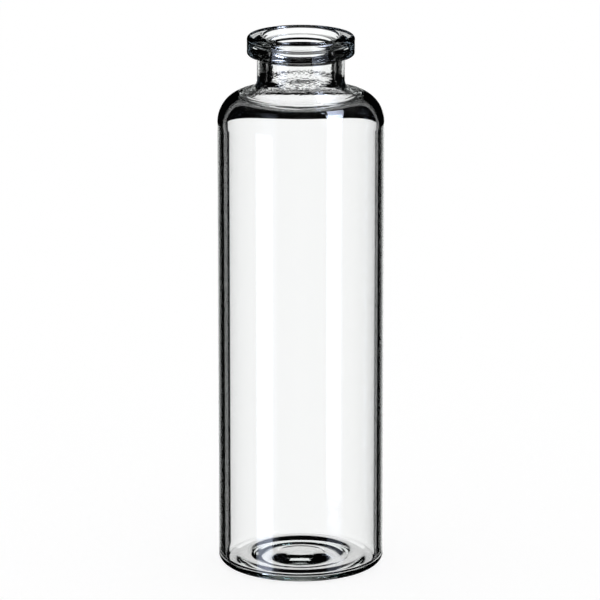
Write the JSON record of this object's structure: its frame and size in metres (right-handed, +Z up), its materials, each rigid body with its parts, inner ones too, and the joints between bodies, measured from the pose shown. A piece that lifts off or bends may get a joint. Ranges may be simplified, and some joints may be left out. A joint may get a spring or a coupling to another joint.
{
  "type": "crimp neck glass sample vial",
  "caption": "Tall clear glass sample vial: straight body, rounded shoulder, short neck, thick crimp lip with an open bore, and a floor pushed up from below.",
  "frame": {"origin": "centre of the foot, on the plane that the vial stands on", "axes": "+Z up the axis of the vial, towards its mouth; X and Y are free, because the form is turned about Z"},
  "size_m": [0.031, 0.031, 0.101],
  "materials": {
    "borosilicate_glass": "clear, drawn and flame-polished"
  },
  "bodies": {
    "root": {"vial": "borosilicate_glass"}
  },
  "joints": []
}
